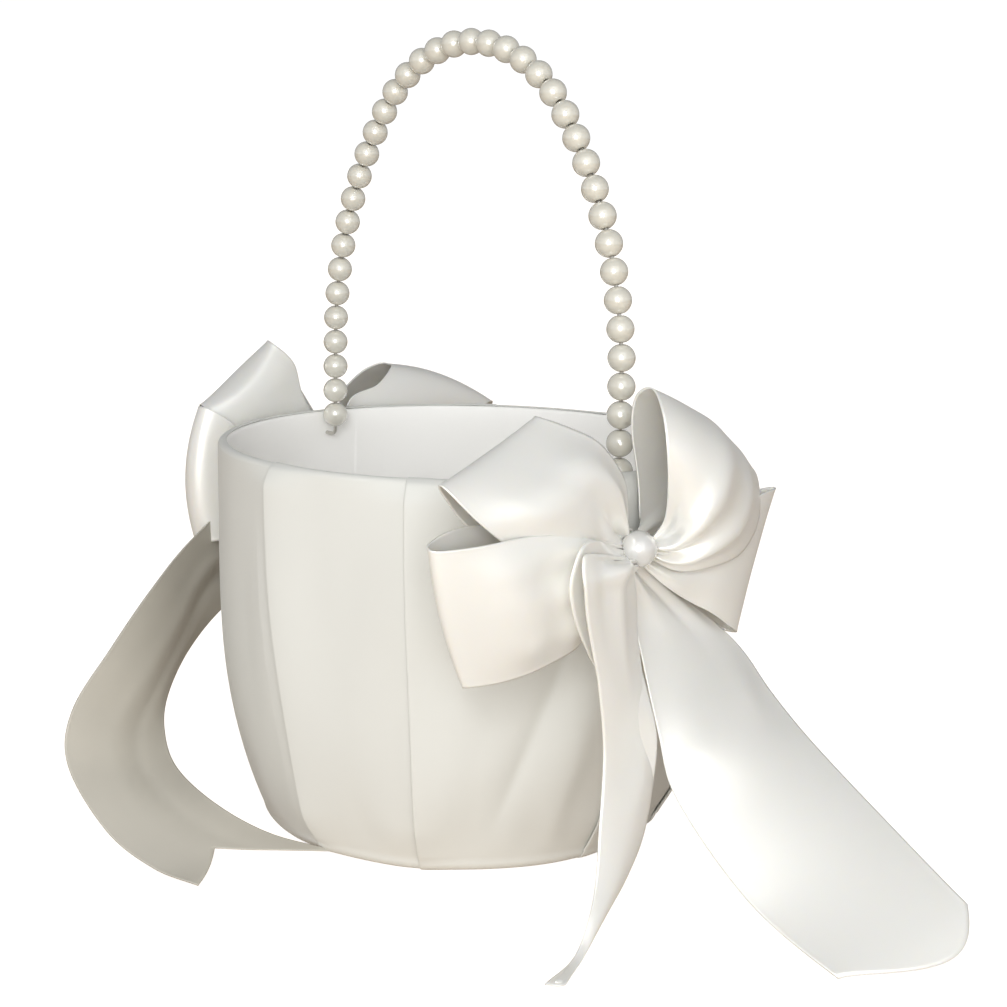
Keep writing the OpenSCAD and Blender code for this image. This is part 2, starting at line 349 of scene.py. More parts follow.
# The taut cloth stands off the wall at a pleat, in mm, and meets the wall again this far round
TAUT = 2.1
TAUT_REACH = math.radians(18)
# Below this height over the wall, in mm, the cover eases towards the wall and never goes into it
LEAST_LIFT = 0.3
# A pleat's section, in sheet order: mm past the folded edge along the wall, and mm over the wall
PLEAT_SECTION = [(-4, 0), (-2, 0), (0, 0), (2, 0), (4, 0.02), (5.2, 0.08), (5.7, 0.2), (5.8, 0.32),
                 (5.7, 0.44), (5.2, 0.56), (4, 0.6), (2, 0.64), (0.6, 0.68), (0.15, 0.74), (-0.05, 0.86),
                 (-0.1, 0.98), (-0.05, 1.1), (0.12, 1.2), (0.5, 1.27), (1.2, 1.3), (2.4, 1.28),
                 (4.5, 1.16), (7.5, 0.85), (11, 0.45), (15, 0.14), (19, 0)]
PANEL_COLS = 44
# The cover goes this far in under the base, with its middle this high, in mm
UNDER_BASE = 6
LOWEST_Z = 0.25


def fold_line(along, across, start, end, left, right, height, fade):
    """A soft fold along a line: height at the line, falling off over left and right mm to its sides."""
    side = np.where(across < 0, np.exp(-(across / left) ** 2), np.exp(-(across / right) ** 2))
    ends = smooth((along - start) / fade) * smooth((end - along) / fade)
    return height * side * ends


# The diagonal fold that hangs from each bow: degrees from the bow's side, its lean in mm per mm of height,
# and the swells on its two sides, as (height, distance from the valley) in mm
FOLD_TURN = 24
FOLD_LEAN = 0.36
FOLD_LEFT = (1.5, 11.0)
FOLD_RIGHT = (1.9, 12.0)


def swell(distance, height, place):
    """A swell that rises from 0 to its height at a place and then falls off slowly."""
    return height * (distance / place) * np.exp(1 - distance / place)


def drape(theta, z):
    """Height of the cover's soft folds over the wall, in mm, at theta in degrees and z in mm."""
    arc = theta * math.pi / 180 * MOUTH_R
    h = 0.30 * np.sin(arc / 9.0 + 0.04 * z) * np.sin(z / 31 + arc / 40)
    h += 0.22 * np.sin(arc / 5.3 - z / 17 + 1.3) * smooth((z - 4) / 30)
    for turn in (0, 180):
        centre = (((theta - turn + FOLD_TURN) + 180) % 360 - 180) * math.pi / 180 * MOUTH_R
        lean = (z - 45) * FOLD_LEAN
        d = centre - lean
        # a crisp valley between two soft swells
        near = np.where(d < 0, swell(-d, *FOLD_LEFT), swell(d, *FOLD_RIGHT))
        h += near * smooth((z - 8) / 30) * smooth((92 - z) / 18)
        # softer folds beside it
        h += fold_line(z, centre + 24 - lean * 0.3, 6, 100, 5, 7, 0.9, 20)
        h += fold_line(z, centre - 13 - lean * 0.5, 0, 60, 7, 5, 1.1, 20)
        h += fold_line(z, centre + 13 - lean * 0.2, 0, 50, 4, 6, 0.5, 20)
    # puckers where the cloth is drawn under the base
    pucker = np.sin(arc / 3.1 + 2 * np.sin(arc / 21)) * np.sin(arc / 13 + 0.7)
    h += 0.35 * pucker * smooth((30 - z) / 20) * smooth((z - 3) / 9)
    return h


def on_arc(centre, radius, angle):
    """(radius, height) on an arc of the tub's section round a (radius, height) centre."""
    return centre[0] + radius * math.cos(angle), centre[1] + radius * math.sin(angle)


def section_rows():
    """Rows of the cover from under the base to the top of the rim: (radius, height, outward normal)."""
    rows = []
    for r in np.linspace(CORNER_C[0] - UNDER_BASE, CORNER_C[0], 5)[:-1]:
        rows.append((r, LOWEST_Z, (0, -1)))
    for a in np.radians(np.linspace(-90, 0, 9)):
        rows.append((*on_arc(CORNER_C, CORNER_R - COVER_INSET, a), (math.cos(a), math.sin(a))))
    for z in np.linspace(CORNER_C[1], RIM_C[1], 76)[1:]:
        slope = wall_r(z + 0.5) - wall_r(z - 0.5)
        n = np.array([1, -slope]) / math.hypot(1, slope)
        rows.append((float(wall_r(z)) - COVER_INSET, z, (n[0], n[1])))
    for a in np.radians(np.linspace(0, 118, 12)[1:]):
        rows.append((*on_arc(RIM_C, RIM_R - COVER_INSET, a), (math.cos(a), math.sin(a))))
    return rows


def climb(rows):
    """How far along the section each row is from the first, in mm."""
    steps = [math.hypot(b[0] - a[0], b[1] - a[1]) for a, b in zip(rows, rows[1:])]
    return np.r_[0, np.cumsum(steps)]


def folds_round(edges, section, sense, panel_cols):
    """(angles, heights) of the columns round the tub: a fold's section at each edge, then a flat panel.

    sense is 1 where the edges go up in angle and -1 where they go down.
    """
    theta, lift = [], []
    for i, edge in enumerate(edges):
        after = edges[(i + 1) % len(edges)] + (sense * FULL_TURN if i == len(edges) - 1 else 0)
        for x, h in section:
            theta.append(edge + sense * x / MOUTH_R)
            lift.append(h)
        first = edge + sense * section[-1][0] / MOUTH_R
        last = after + sense * section[0][0] / MOUTH_R
        for j in range(1, panel_cols):
            theta.append(first + (last - first) * j / panel_cols)
            lift.append(0.0)
    return np.array(theta), np.array(lift)


def make_cover():
    """The satin cover: one sheet round the tub with knife pleats folded into it."""
    rows = section_rows()
    grid, uv = [], []
    for run, (r, z, n) in zip(climb(rows), rows):
        under = z < LOWEST_Z + 0.05
        share = float(smooth((108 - z) / 75.0))
        edges = [math.radians(a + turn * share) for a, turn in PLEATS]
        theta, lift = folds_round(edges, PLEAT_SECTION, 1, PANEL_COLS)
        # the pleats lie flatter over the rim and under the base
        top_fade = 1 - 0.75 * float(smooth((z - RIM_C[1]) / RIM_R + 0.2)) if z > RIM_C[1] - 2 else 1.0
        base_fade = float(smooth((z + 0.5) / 6.0)) * 0.8 + 0.2
        taut = TAUT * float(smooth((RIM_C[1] + 1.5 - z) / 6.0) * smooth((z - 2) / 14.0))
        near = np.min([np.abs((theta - edge + math.pi) % FULL_TURN - math.pi) for edge in edges], axis=0)
        lift = lift * top_fade * base_fade + taut * np.maximum(1 - near / TAUT_REACH, 0) ** 2
        soft = np.zeros_like(theta) if under or z >= RIM_C[1] else drape(np.degrees(theta), z)
        lift = lift + soft * float(smooth((RIM_C[1] - z) / 26)) + 0.05
        eased = LEAST_LIFT * np.exp(np.minimum(lift / LEAST_LIFT - 1, 0))
        lift = np.where(lift > LEAST_LIFT, lift, eased)
        rad = r + lift * n[0]
        up = z + (0 if under else lift * n[1])
        grid.append(np.stack(np.broadcast_arrays(rad * np.cos(theta), rad * np.sin(theta), up), -1))
        cloth = np.r_[0, np.cumsum(np.hypot(np.diff(theta) * MOUTH_R, np.diff(lift)))]
        uv.append(np.stack([cloth * MM, np.full_like(theta, run * MM)], -1))
    grid = np.array(grid)
    grid[..., 2] = np.maximum(grid[..., 2], LOWEST_Z)
    return cloth_from_grid("cover", grid[:, ::-1], np.array(uv)[:, ::-1], COVER_THICK, COVER, wrap=True)


cover = make_cover()
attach(cover, "basket")
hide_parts("outer_cover")

# Seams of the lining: the angles round the tub at which the cloth has a folded edge
LINING_SEAMS = [171, 129.5, 84, 40, -6, -50, -95, -141]
LINING_PANEL_COLS = 30
# A seam's section: mm past the folded edge, and mm off the wall
SEAM_SECTION = [(-3, 0), (-1, 0), (-0.3, 0.02), (-0.05, 0.08), (0.15, 0.2), (0.5, 0.28), (1.2, 0.3),
                (3, 0.26), (6, 0.14), (10, 0.04)]


def make_lining():
    """The lining of the wall: one sheet with folded seams, from the rim's inner seam down to the pad."""
    rows = [on_arc(RIM_C, RIM_R - 0.35, a) for a in np.radians(np.linspace(112, 180, 7))]
    for z in np.linspace(RIM_C[1], PAD_TOP - 4, 60)[1:]:
        tuck = 0.8 * float(smooth((z - 98) / 16))
        rows.append((float(wall_r(z)) - LINING_INSET - tuck, z))
    edges = [math.radians(a) for a in LINING_SEAMS]
    theta, seams = folds_round(edges, SEAM_SECTION, -1, LINING_PANEL_COLS)
    arc = theta * MOUTH_R
    grid, uv = [], []
    for run, (r, z) in zip(climb(rows), rows):
        fade = float(smooth((RIM_C[1] - z) / 20))
        wave = 0.3 * np.sin(arc / 8 + z / 23) * np.sin(z / 19 + arc / 31)
        rad = r - seams * (0.35 + 0.65 * fade) - (wave + 0.35) * fade
        grid.append(np.stack([rad * np.cos(theta), rad * np.sin(theta), np.full_like(theta, z)], -1))
        uv.append(np.stack([-arc * MM, np.full_like(theta, run * MM)], -1))
    grid, uv = np.array(grid), np.array(uv)
    return cloth_from_grid("lining", grid[:, ::-1], uv[:, ::-1], LINING_THICK, LINING_PAINTED_LIGHT, wrap=True)


lining = make_lining()
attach(lining, "basket")
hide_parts("lining_wall")


DISC_SEGMENTS = 96


def disc_profile(radius, low, high, edge, crown):
    """Section of a soft disc with rounded edges and a crowned top: (radius, height) from the top's centre."""
    points = [(0.01, high + crown)]
    for k in range(1, 16):
        s = k / 16
        points.append((radius * s, high + crown * (1 - s ** 2) ** 1.5))
    for a in np.radians(range(80, -91, -10)):
        side = radius - edge + edge * math.cos(a) + 0.01
        points.append((side, (low + high) / 2 + (high - low) / 2 * math.sin(a)))
    points.append((0.01, low))
    return points


pad = lathe("floor_pad", disc_profile(PAD_R, 3.95, 7.4, 2.6, 1.4), LINING_PAINTED_LIGHT, DISC_SEGMENTS)
# Soft ripples in the pad's cloth, which grow towards its edge
for v in pad.data.vertices:
    a = math.atan2(v.co.y, v.co.x)
    d = math.hypot(v.co.x, v.co.y) / (PAD_R * MM)
    if v.co.z > 5.5 * MM and 0.2 < d < 0.97:
        v.co.z += MM * 0.35 * math.sin(9 * a + 2 * math.sin(3 * a)) * d ** 4
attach(pad, "basket")
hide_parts("lining_floor")

base = lathe("base_disc", disc_profile(BASE_R, 0.0, 0.7, 0.4, 0.0), COVER, DISC_SEGMENTS)
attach(base, "basket")
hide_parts("base_cover")


# ---- Handle -----------------------------------------------------------------

CROWN_DZ = CROWN_Z - SPRING_Z
FLANK_R = (LEG_X ** 2 + CROWN_DZ ** 2 - CROWN_R ** 2) / (2 * (LEG_X - CROWN_R))
FLANK_A = math.atan2(CROWN_DZ, FLANK_R - LEG_X)
LEG_LEN = SPRING_Z - FIRST_PEARL_Z
FLANK_LEN = FLANK_R * FLANK_A
HALF_LEN = LEG_LEN + FLANK_LEN + CROWN_R * (math.pi / 2 - FLANK_A)


def on_front_half(s):
    """(x, z, lean from the vertical) on the front half of the wire, at distance s from its lowest pearl."""
    if s < LEG_LEN:
        return LEG_X, FIRST_PEARL_Z + s, 0.0
    if s < LEG_LEN + FLANK_LEN:
        a = (s - LEG_LEN) / FLANK_R
        return LEG_X - FLANK_R + FLANK_R * math.cos(a), SPRING_Z + FLANK_R * math.sin(a), a
    a = FLANK_A + (s - LEG_LEN - FLANK_LEN) / CROWN_R
    return CROWN_R * math.cos(a), CROWN_Z + CROWN_R * math.sin(a), a


def on_wire(s):
    """(x, z, lean) anywhere on the wire."""
    if s <= HALF_LEN:
        return on_front_half(s)
    x, z, a = on_front_half(2 * HALF_LEN - s)
    return -x, z, -a


def pearl_profile(radius, hole):
    """Section of a drilled pearl: the ball, a softly worn lip and the wall of the hole."""
    lip = 0.16 * radius
    start = math.asin((hole + lip) / radius)
    points = []
    for k in range(25):
        a = start + (math.pi - 2 * start) * k / 24
        points.append((radius * math.sin(a), radius * math.cos(a)))
    foot = -radius * math.cos(start)
    down = [(hole + lip * 0.45, foot - lip * 0.12), (hole + lip * 0.1, foot + lip * 0.15), (hole, foot + lip)]
    up = [(r, -z) for r, z in reversed(down)]
    return points + down + up


def blind_profile(radius, hole, depth):
    """Section of a pearl that is drilled part of the way in from below."""
    lip = 0.12 * radius
    start = math.asin((hole + lip) / radius)
    points = []
    for k in range(33):
        a = (math.pi - start) * k / 32
        points.append((radius * math.sin(a) + 0.001, radius * math.cos(a)))
    foot = -radius * math.cos(start)
    mouth = [(hole + 0.2 * lip, foot + 0.1 * lip), (hole, foot + lip)]
    return points + mouth + [(hole, foot + depth), (0.001, foot + depth)]


def make_handle_pearls():
    """All the pearls on the wire, from one mesh, each turned a little on its hole."""
    rng = np.random.default_rng(7)
    first = lathe("handle_pearl_01", pearl_profile(PEARL_R, WIRE_HOLE_R), PEARL, 40, close=True)
    made = []
    for i in range(PEARL_COUNT):
        x, z, lean = on_wire(2 * HALF_LEN * i / (PEARL_COUNT - 1))
        obj = first if i == 0 else bpy.data.objects.new(f"handle_pearl_{i + 1:02d}", first.data)
        if i:
            bpy.context.scene.collection.objects.link(obj)
        spin = Matrix.Rotation(rng.uniform(0, FULL_TURN), 4, "Z")
        size = Matrix.Scale(rng.uniform(0.985, 1.0), 4)
        place = Matrix.Translation((x * MM, 0, z * MM))
        obj.matrix_world = place @ Matrix.Rotation(-lean, 4, "Y") @ spin @ size
        made.append(obj)
    return made


pearls = make_handle_pearls()
for pearl in pearls:
    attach(pearl, "handle")
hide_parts("handle_pearls_front")
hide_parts("handle_pearls_crown")
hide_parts("handle_pearls_rear")


# ---- Bows -------------------------------------------------------------------
# Stations along each ribbon, in mm, at the front bow: (first edge, second edge, how far the middle stands
# off). A loop runs from the knot out along its front layer, round its fold and back along its rear layer.

UPPER_LEFT = [((85, -14, 102), (85, -17, 100), (0, 0, 0)),
              ((89, -18, 110), (88, -28, 98), (1, 0, 0)),
              ((89, -20, 119), (91, -44, 98), (3, 0, 2)),
              ((86, -26, 128), (90, -57, 103), (4, 0, 1)),
              ((82, -33, 132.5), (88, -69, 112), (3, 0, -1)),
              ((77, -40, 135.5), (83, -77, 121.5), (0, 0, -1)),
              ((74, -37, 134), (79, -74, 119), (-2, 0, -1)),
              ((74, -28, 128), (77, -61, 107), (-2, 0, 0)),
              ((76, -18, 117), (77, -38, 98), (-1, 0, 0)),
              ((79, -13, 103), (79, -17, 98), (0, 0, 0))]
LOWER_LEFT = [((86, -17, 99), (86, -16, 96), (0, 0, 0)),
              ((91, -29, 104), (89, -25, 88), (2, 0, 0)),
              ((93, -43, 107), (91, -36, 77), (3, 0, 0)),
              ((92, -57, 108), (90, -48, 72), (3, 0, 0)),
              ((90, -71, 107), (88, -61, 69.5), (2, 0, 0)),
              ((86, -82, 106.5), (85, -70.5, 69), (0, -1.5, 0)),
              ((82, -80, 108), (82, -67, 69), (-1, -1, 0)),
              ((80, -66, 110), (80, -54, 69), (-1, 0, 0)),
              ((79, -42, 106), (80, -34, 76), (-1, 0, 0)),
              ((80, -17, 99), (81, -16, 96), (0, 0, 0))]
UPPER_RIGHT = [((87, -7, 100), (87, -9, 96), (0, 0, 0)),
               ((90, -5, 106), (90, 1, 91), (2, 0, 0)),
               ((93, -7, 115), (92, 13, 91), (5, 0, 1)),
               ((94, -9, 127), (90, 27, 93), (7, 1, 2)),
               ((91, -8, 136), (86, 38, 101), (6, 2, 3)),
               ((85, -6, 141.5), (80, 43, 112), (2, 2, 2)),
               ((80, -7, 139), (76, 40, 115), (-1, 0, 1)),
               ((78.5, -7, 130), (75, 36, 107), (0, 0, 0)),
               ((79.5, -5, 116), (78, 22, 96), (0, 0, 0)),
               ((81, -5, 103), (81, -8, 98), (0, 0, 0))]
LOWER_RIGHT = [((85, -10, 99), (85, -12, 96), (0, 0, 0)),
               ((88, 0, 101), (88, -2, 87), (1, 0, 0)),
               ((88, 13, 103), (88, 8, 81), (2, 0, 0)),
               ((86, 28, 105), (89, 16.5, 76.5), (2, 0, 0)),
               ((83, 43, 107), (88, 25.5, 71), (1, 0, 0)),
               ((79, 53, 107), (85.5, 31, 68), (0, -1, 0)),
               ((77, 50, 107), (81, 30, 68), (-1, -1, 0)),
               ((76, 36, 105), (78, 21, 74), (0, 0, 0)),
               ((77, 14, 101), (78, 5, 84), (0, 0, 0)),
               ((80, -10, 99), (80, -12, 96), (0, 0, 0))]
# The rear bow's loops, where they hang otherwise than the front bow's, given as if they were at the front
REAR_UPPER_LEFT = [((85, -14, 102), (85, -17, 100), (0, 0, 0)),
                   ((89, -17, 111), (88, -29, 98), (1, 0, 0)),
                   ((91, -21, 119), (91, -45, 96), (2, 0, 1)),
                   ((90, -28, 125), (91, -62, 98), (3, 0, 2)),
                   ((88, -34, 128), (90, -76, 104), (2, 0, 2)),
                   ((85, -36, 128), (87, -85, 109.5), (1, 0, 3.5)),
                   ((80, -33, 127.5), (81, -78, 111.5), (-1, 0, 2)),
                   ((77, -25, 122.5), (78, -62, 104), (-1, 0, 1)),
                   ((77, -13, 118), (77, -38, 98), (-1, 0, 0)),
                   ((80, -13, 103), (80, -17, 98), (0, 0, 0))]
REAR_UPPER_RIGHT = [((85, -14, 102), (87, -10, 98), (0, 0, 0)),
                    ((89, -9, 111), (90, 2, 93), (2, 0, 0)),
                    ((92, -3, 122), (92, 15, 92), (4, 0, 1)),
                    ((91, 6, 133), (91, 29, 100), (5, 0, 2)),
                    ((87, 13, 138.5), (86, 40, 118), (2, -0.5, 0)),
                    ((80, 15.5, 138.5), (80, 42, 119.5), (-1, -1, -2)),
                    ((78, 9, 132), (77.5, 37, 113), (-1, 0, 0)),
                    ((78.5, 5, 121), (78, 26, 101), (0, 0, 0)),
                    ((79.5, -3, 110), (79, 8, 95), (0, 0, 0)),
                    ((80, -11, 102), (80, -10, 97), (0, 0, 0))]
REAR_LOWER_RIGHT = [((85, -10, 99), (85, -12, 96), (0, 0, 0)),
                    ((88, 2, 104), (88, -1, 88), (2, 0, 0)),
                    ((90, 16, 110), (89, 12, 80), (2, 0, 0)),
                    ((89, 30, 116), (89, 27, 76), (2, 0, 0)),
                    ((85, 41, 119), (86, 41, 75), (1, 4, 0)),
                    ((79, 43, 120), (80, 45, 76), (0, 3, 0)),
                    ((76, 38, 117), (75, 38, 77), (0, 0, 0)),
                    ((76, 28, 110), (75, 26, 82), (0, 0, 0)),
                    ((77, 10, 102), (77, 6, 89), (0, 0, 0)),
                    ((80, -10, 99), (80, -12, 96), (0, 0, 0))]
WIDE_TAIL = [((82, -15, 96), (82, -11, 96), (0, 0, 0)),
             ((84, -14, 89), (83, 0, 88), (1, 0, 0)),
             ((88, -12, 74), (87, 26, 68), (1, 0, 0)),
             ((100, -15, 50), (104, 26, 55), (2, 0, 1)),
             ((110, -17, 34), (123, 23, 45), (2, 0, 2)),
             ((135.5, -15, 12.3), (149.5, 24, 29), (1, 0, 2)),
             ((163, -11.5, 0), (174, 26, 14), (0, 0, 0)),
             ((177, -5, -7), (187, 30, 5), (0, 0, 0))]
# The narrow tail is doubled along its length: its rear selvedge, the fold, then its front selvedge
NARROW_TAIL = [((86, -13.5, 97.5), (86, -13, 95), (88, -16, 96.5)),
               ((92, -26.5, 101.5), (89, -16.5, 94.5), (95, -29, 100)),
               ((96, -35.5, 105), (91.5, -18, 93), (99, -39, 102.5)),
               ((97.5, -42, 105), (93, -18, 91.5), (100.5, -44.5, 103)),
               ((98, -45.5, 100.5), (94, -18, 88.5), (101.5, -46, 98.5)),
               ((98, -47, 94), (94.5, -18, 84), (102, -45.5, 92.5)),
               ((98, -45, 85.5), (95, -18, 77.5), (102, -44, 84.5)),
               ((97.5, -39.5, 75.5), (96, -17.5, 69.5), (102, -41.5, 75)),
               ((97, -32.5, 64.5), (97.5, -16.5, 61), (102, -39.5, 66.5)),
               ((98, -30.5, 46), (100.5, -15, 44), (103, -38, 48.5)),
               ((102, -35.5, 27.5), (104.5, -22.5, 26), (106, -42, 30)),
               ((105.5, -40.5, 17.5), (108, -32.5, 16), (109, -45.5, 19)),
               ((110, -47.5, 9.5), (112, -44.5, 9), (112.5, -51, 11)),
               ((114.5, -57, 2.5), (116, -56.5, 2.5), (115.5, -59, 2.5)),
               ((121, -70.5, 1), (122.5, -68, 0.5), (119.5, -72.5, 0.5))]
REAR_WIDE_TAIL = [((-82, 12, 96), (-82, 15, 96), (0, 0, 0)),
                  ((-86, 0, 95), (-84, 6, 84), (0, 0, 0)),
                  ((-86, -22, 90), (-86, -12, 62), (-1, 0, 0)),
                  ((-71, -54, 79), (-80, -36, 53), (0, 0, 0)),
                  ((-56, -78, 69), (-74, -53, 43), (2, 2, -2)),
                  ((-46, -98, 56), (-58, -71, 35), (3, 2, -2)),
                  ((-41, -114, 41), (-46, -80, 28), (3, 0, -2)),
                  ((-35, -119, 27), (-33, -84, 20), (2, 0, -1)),
                  ((-19, -116, 11), (-15, -82, 13), (1, 0, 0)),
                  ((-4, -110, 3), (0, -73, 6), (0, 0, 1)),
                  ((10, -104, 0.6), (13, -58, 0.8), (0, 0, 0.4))]


# Rows of a ribbon's mesh from one station to the next, and its columns from edge to edge
ROWS_PER_STATION = 10
RIBBON_COLS = 41


def lay_out(stations, end):
    """Points of a ribbon through its stations: (grid, place of each column across it, from 0 to 1)."""
    first, second, middle = ([s[k] for s in stations] for k in range(3))
    count = (len(stations) - 1) * ROWS_PER_STATION + 1
    even = np.linspace(0, 1, RIBBON_COLS)
    w = (1 - np.cos(math.pi * even)) / 2 * 0.4 + even * 0.6
    grid = np.empty((count, RIBBON_COLS, 3))
    for j, x in enumerate(w):
        t = np.linspace(0, len(stations) - 1 - (end(x) if end else 0), count)
        grid[:, j] = spline(first, t) * (1 - x) + spline(second, t) * x + spline(middle, t) * 4 * x * (1 - x)
    return grid, w


def lay_out_doubled(stations, crown):
    """Points of a ribbon that is doubled along its length: two flat leaves that meet at a rounded fold."""
    rear, fold, front = ([s[k] for s in stations] for k in range(3))
    t = np.linspace(0, len(stations) - 1, (len(stations) - 1) * ROWS_PER_STATION + 1)
    a, b, c = spline(rear, t), spline(fold, t), spline(front, t)
    w = np.linspace(0, 1, RIBBON_COLS)
    grid = np.empty((len(t), RIBBON_COLS, 3))
    # the share of the width, on each side of the middle, that the rounded fold takes up
    bend = 0.05
    for j, x in enumerate(w):
        if x < 0.5 - bend:
            grid[:, j] = a + (b - a) * 2 * x
        elif x > 0.5 + bend:
            grid[:, j] = b + (c - b) * (2 * x - 1)
        else:
            u = (x - 0.5 + bend) / (2 * bend)
            p, q = b + (a - b) * 2 * bend, b + (c - b) * 2 * bend
            grid[:, j] = p * (1 - u) ** 2 + 2 * b * u * (1 - u) + q * u ** 2
        if x > 0.5:
            v = 2 * x - 1
            grid[:, j] += np.array([crown, 0, 0]) * 4 * v * (1 - v)
    return grid, w


def ribbon(name, stations, folds=(), waves=(), end=None, doubled=None, material=RIBBON):
    """A ribbon through its stations.

    folds are (place across, height, width across, reach along in mm) from the knot, or from the last
    station if reach is below 0. waves are (mm from the knot, mm further on from edge to edge, height,
    width in mm), each a swell across the ribbon that fades at the edges. end gives, across the ribbon,
    how many stations its cut stands short of the last. doubled is the crown of the front leaf, in mm,
    of a ribbon doubled along its length.
    """
    if doubled is None:
        grid, w = lay_out(stations, end)
    else:
        grid, w = lay_out_doubled(stations, doubled)
    mid = grid[:, RIBBON_COLS // 2]
    run = np.r_[0, np.cumsum(np.linalg.norm(np.diff(mid, axis=0), axis=1))]
    normal = grid_normals(grid)
    for place, height, width, reach in folds:
        away = run if reach > 0 else run[-1] - run
        fade = np.exp(-(away / abs(reach)) ** 2) * smooth(away / 3.0)
        shape = np.exp(-((w - place) / width) ** 2)
        grid += normal * (height * fade[:, None] * shape[None, :])[..., None]
    for start, skew, height, width in waves:
        away = (run[:, None] - start - skew * (w[None, :] - 0.5)) / width
        inner = 0.15 + 0.85 * smooth(np.minimum(w, 1 - w) / 0.3)[None, :]
        grid += normal * (height * inner * np.exp(-away ** 2))[..., None]
    selvedge = np.exp(-(np.minimum(w, 1 - w) * RIBBON_W / 0.5) ** 2)
    thick = np.tile(RIBBON_THICK + SELVEDGE_THICK * selvedge, (len(grid), 1))
    uv = np.stack(np.broadcast_arrays(w[None, :] * RIBBON_W * MM, run[:, None] * MM), -1)
    return cloth_from_grid(name, grid, uv, thick, material)


def turned(stations, turn):
    """The stations, turned half way round the tub if turn is 1."""
    s = -1 if turn else 1
    return [tuple((s * x, s * y, z) for x, y, z in st) for st in stations]


# Each loop of a bow: (stations, folds, waves)
LOOPS = {
    "upper_left": (UPPER_LEFT, [(0.2, 1.4, 0.08, 24), (0.42, -1.8, 0.09, 26), (0.68, 1.4, 0.08, 22),
                                (0.88, -0.8, 0.05, 16), (0.5, 1.2, 0.12, -20)], [(36, 4, 2.0, 9)]),
    "lower_left": (LOWER_LEFT, [(0.12, 1.4, 0.07, 24), (0.3, -2.8, 0.09, 30), (0.48, 1.8, 0.07, 26),
                                (0.64, -1.8, 0.07, 24), (0.82, 1.2, 0.08, 22), (0.5, 1.2, 0.12, -20)],
                   [(45, 0, 1.8, 9), (24, 8, 1.8, 5)]),
    "upper_right": (UPPER_RIGHT, [(0.12, 1.0, 0.07, 18), (0.42, -3.4, 0.10, 36), (0.62, 1.6, 0.08, 30),
                                  (0.76, -2.4, 0.06, 30), (0.9, 1.0, 0.05, 24), (0.5, 1.2, 0.12, -20)], []),
    "lower_right": (LOWER_RIGHT, [(0.2, 1.0, 0.07, 20), (0.38, -1.6, 0.09, 28), (0.62, 1.6, 0.09, 26),
                                  (0.82, -1.0, 0.06, 18), (0.5, 1.2, 0.12, -20)], []),
}
REAR_STATIONS = {"upper_left": REAR_UPPER_LEFT, "upper_right": REAR_UPPER_RIGHT,
                 "lower_right": REAR_LOWER_RIGHT}
# Height and reach of the rear bow's gathers, as shares of the front bow's
REAR_FOLD_HEIGHT = 0.6
REAR_FOLD_REACH = 0.7


def make_knot(side, turn):
    """The gathered waist of the ribbon: a short pleated barrel between the wall and the pearl."""
    rows, cols = 21, 96
    t = np.linspace(0, 1, rows)[:, None]
    a = np.linspace(0, FULL_TURN, cols, endpoint=False)[None, :]
    flare = np.abs(2 * t - 1)
    pleats = 0.35 * np.sin(11 * a + 2 * np.sin(2 * a)) * (0.4 + flare)
    radius = KNOT_R + 1.3 * flare ** 2 + pleats
    x = KNOT_START_X + KNOT_LEN * t + 0 * a
    grid = np.stack([x, BOW_Y + radius * np.cos(a), BOW_Z + radius * np.sin(a)], -1)
    if turn:
        grid = grid * np.array([-1, -1, 1])
    uv = np.stack(np.broadcast_arrays(a * 3.2 * MM, t * KNOT_LEN * MM), -1)
    return cloth_from_grid(f"{side}_knot", grid, uv, KNOT_THICK, RIBBON, wrap=True)


def make_bow(side, turn):
    """One bow: four loops, the narrow tail, the knot and the centre pearl. turn is 1 for the rear bow."""
    for name, (stations, folds, waves) in LOOPS.items():
        if turn:
            stations = REAR_STATIONS.get(name, stations)
            folds = [(place, REAR_FOLD_HEIGHT * height, width, REAR_FOLD_REACH * reach)
                     for place, height, width, reach in folds]
        loop = ribbon(f"{side}_{name}", turned(stations, turn), folds, waves)
        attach(loop, "basket")
        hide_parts(f"{side}_bow_{name}_loop")
    narrow = ribbon(f"{side}_narrow_tail", turned(NARROW_TAIL, turn),
                    folds=[(0.72, -1.8, 0.05, 28), (0.86, 1.0, 0.05, 22)],
                    waves=[(52, 22, 1.8, 11), (6, 21, -2.4, 2.6)], doubled=1.5)
    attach(narrow, "basket")
    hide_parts(f"{side}_bow_narrow_tail")
    knot = make_knot(side, turn)
    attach(knot, "basket")
    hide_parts(f"{side}_bow_knot")
    profile = blind_profile(CENTRE_PEARL_R, PIN_HOLE_R, PIN_HOLE_DEPTH)
    ball = lathe(f"{side}_centre_pearl", profile, CENTRE, 64)
    ball.matrix_world = (Matrix.Rotation(math.pi * turn, 4, "Z")
                         @ Matrix.Translation((CENTRE_PEARL_X * MM, BOW_Y * MM, BOW_Z * MM))
                         @ Matrix.Rotation(math.radians(90), 4, "Y"))
    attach(ball, "basket")
    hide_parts(f"{side}_bow_pearl")


make_bow("front", 0)
make_bow("rear", 1)


def rounded_cut(w):
    """The front wide tail's cut end: longest a little past its middle, so it looks rounded."""
    return 1.0 - 0.6 * math.sin(math.pi * w ** 1.4)


def notched_cut(w):
    """The rear wide tail's cut end: a notch in its middle."""
    return 0.95 * (1 - abs(2 * w - 1))


wide = ribbon("front_wide_tail", WIDE_TAIL,
              folds=[(0.3, 1.2, 0.1, 26), (0.6, -1.2, 0.1, 26), (0.85, 1.0, 0.08, 22)],
              waves=[(62, -26, 2.2, 12)], end=rounded_cut)
